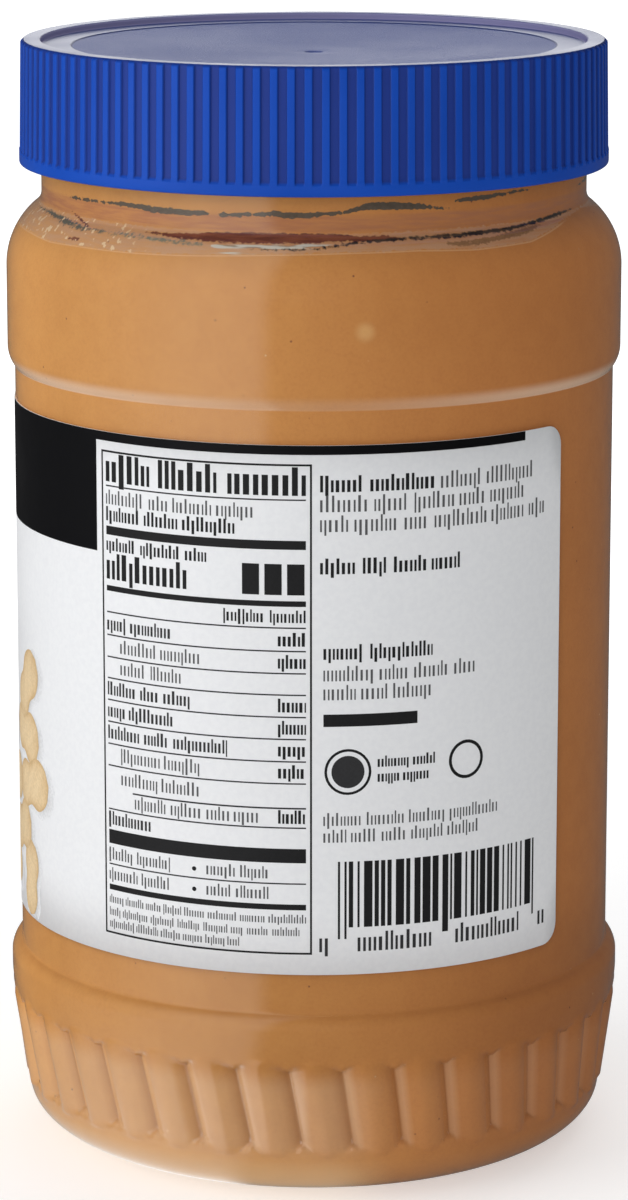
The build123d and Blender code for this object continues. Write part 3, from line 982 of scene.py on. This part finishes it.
def blue_plastic():
    """Blue plastic; the cap's stored values choose the colour of each part, with painted shade and sheen
    among them, and the matt disc's grain.
    """
    made = material("blue_plastic")
    tree = made.node_tree
    broad = noise(tree, 45, 2)
    color = mix(tree, ramp(tree, broad, 0.3, 0.7), (0.003, 0.060, 0.42), (0.005, 0.070, 0.47))
    # Painted shade and reflection in the grooves, painted shade at the bars' feet and under the rim's edge,
    # the rim's darker top, a painted grey sheen on the rim's inner wall, a greyer tone on the matt disc that
    # stands in partly for its sheen, and the dark seam round the disc
    for name, strength, tone in (
        ("groove", 0.8, (0.018, 0.038, 0.225)), ("flank_shade", 0.75, (0.001, 0.022, 0.19)),
        ("ring", 1, (0.02, 0.045, 0.20)), ("inner", 1, (0.24, 0.23, 0.42)),
        ("disc", 1, (0.086, 0.118, 0.32)), ("seam", 0.7, (0.01, 0.02, 0.09)),
    ):
        color = mix(tree, times(tree, value_of(tree, name), strength), color, tone)
    disc = value_of(tree, "disc")
    height = times(tree, noise(tree, 3500, 2), maths(tree, "ADD", times(tree, disc, 2.4), 0.1))
    rough = maths(tree, "ADD", times(tree, disc, 0.16), ramp(tree, broad, 0.3, 0.7, 0.3, 0.36))
    return principled(made, color, rough, 0.2, bump(tree, height, 0.00004))


def paint(piece, made):
    """Gives a piece its one material."""
    piece.data.materials.clear()
    piece.data.materials.append(made)


# ---------------------------------------------------------------- studio


# The white card, which only glossy surfaces show, fills the studio on the side that faces this way
CARD_SIDE = (-0.953, 0.302, 0)


def white_card(tree, way):
    """How bright the card and the rest of the studio look in the direction way."""
    beside = node(tree, "VectorMath", {0: way, 1: CARD_SIDE}, operation="DOT_PRODUCT").outputs["Value"]
    back = node(tree, "SeparateXYZ", {"Vector": way}).outputs["Y"]
    card = times(tree, ramp(tree, beside, -0.08, 0.08), ramp(tree, back, -0.6, 0.3, 1, 0))
    card = times(tree, card, ramp(tree, beside, 0.35, 0.95, 1, 0.4))
    return maths(tree, "ADD", times(tree, card, 0.95), 0.1)


def floor_white():
    """A matt white floor that glows where the camera sees it and mirrors only the painted studio."""
    made = material("floor_white")
    tree = made.node_tree
    path = node(tree, "LightPath").outputs
    where = node(tree, "TexCoord").outputs["Object"]
    away = node(tree, "VectorMath", {0: where}, operation="LENGTH").outputs["Value"]
    shown = maths(tree, "MAXIMUM", path["Is Camera Ray"], path["Is Transmission Ray"])
    matt = node(tree, "BsdfDiffuse", {"Color": (0.82, 0.82, 0.82, 1)}).outputs[0]
    lift = times(tree, shown, ramp(tree, away, 0.12, 0.5, 0.42, 0.9))
    lift = maths(tree, "ADD", lift, times(tree, path["Is Diffuse Ray"], 0.15))
    glow = node(tree, "Emission", {"Strength": lift}).outputs[0]
    bare = node(tree, "AddShader", {0: matt, 1: glow}).outputs[0]
    way = node(tree, "VectorMath", {0: where}, operation="NORMALIZE").outputs[0]
    side = node(tree, "SeparateXYZ", {"Vector": where}).outputs["X"]
    close = times(tree, ramp(tree, away, 0.045, 0.09, 0.2, 0), ramp(tree, side, 0.002, 0.010, 1, 0.1))
    seen = maths(tree, "ADD", white_card(tree, way), close)
    mirrored = node(tree, "Emission", {"Strength": seen}).outputs[0]
    return surface(made, node(tree, "MixShader", {0: path["Is Glossy Ray"], 1: bare, 2: mirrored}).outputs[0])


def build_floor():
    """A square floor just under the foot ring."""
    half, under = 4000, -0.02
    corners = [(-half, -half, under), (half, -half, under), (half, half, under), (-half, half, under)]
    floor = new_object("floor", corners, [(0, 1, 2, 3)], body=None)
    return floor


def build_world():
    """A white world, dimmer for diffuse rays and painted for glossy ones."""
    world = bpy.data.worlds.new("studio")
    bpy.context.scene.world = world
    world.use_nodes = True
    tree = world.node_tree
    tree.nodes.clear()
    path = node(tree, "LightPath").outputs
    around = node(tree, "TexCoord").outputs["Generated"]
    way = node(tree, "SeparateXYZ", {"Vector": around}).outputs
    narrow = ramp(tree, maths(tree, "ABSOLUTE", way["X"]), 0.09, 0.15, 1, 0)
    behind = times(tree, ramp(tree, way["Y"], 0.84, 0.93), ramp(tree, way["Z"], 0.0, 0.1), narrow, 2.3)
    mirrored = maths(tree, "ADD", behind, white_card(tree, around))
    direct = maths(tree, "MAXIMUM", path["Is Camera Ray"], path["Is Transmission Ray"])
    soft = times(tree, path["Is Diffuse Ray"], 0.38)
    shiny = times(tree, path["Is Glossy Ray"], mirrored)
    strength = maths(tree, "MAXIMUM", direct, maths(tree, "MAXIMUM", soft, shiny))
    light = node(tree, "Background", {"Color": (1, 1, 1, 1), "Strength": strength}).outputs[0]
    node(tree, "OutputWorld", {"Surface": light})


LAMP_AIM = 0.085  # the height that the lamps face, in metres


def lamp(name, angle, distance, height, size, power):
    """A rectangular soft light, at angle round the jar, that faces the jar's middle."""
    data = bpy.data.lights.new(name, "AREA")
    data.shape = "RECTANGLE"
    data.size, data.size_y = size
    data.energy = power
    made = bpy.data.objects.new(name, data)
    bpy.context.scene.collection.objects.link(made)
    a = radians(angle)
    made.location = (distance * sin(a), -distance * cos(a), height)
    made.rotation_euler = (pi / 2 - atan2(height - LAMP_AIM, distance), 0, a)
    made.visible_glossy = False


CAMERA_AT = (0, -0.71969, 0.24223)
CAMERA_DOWN = 0.2147  # radians that the camera looks down
LENS = 139.116  # mm, on a sensor 36 mm high


def build_camera():
    """The camera, which sees the whole jar from the front and slightly from above."""
    data = bpy.data.cameras.new("camera")
    data.sensor_fit = "VERTICAL"
    data.sensor_height = 36
    data.lens = LENS
    data.clip_start = 0.01
    camera = bpy.data.objects.new("camera", data)
    camera.location = CAMERA_AT
    camera.rotation_euler = (pi / 2 - CAMERA_DOWN, 0, 0)
    bpy.context.scene.collection.objects.link(camera)
    bpy.context.scene.camera = camera


build_camera()
build_world()
paint(build_floor(), floor_white())
lamp("key", -72, 0.85, 0.30, (0.9, 1.0), 5.1)
lamp("fill", -5, 1.3, 0.45, (0.9, 0.9), 4.4)
lamp("top", 160, 0.5, 0.9, (0.7, 0.7), 2)
paint(build_jar(), clear_plastic())
paint(build_contents(), peanut_butter())
paint(build_label(), label_film())
paint(build_print(), label_ink())
paint(build_cap(), blue_plastic())
bpy.context.scene.view_settings.view_transform = "Standard"
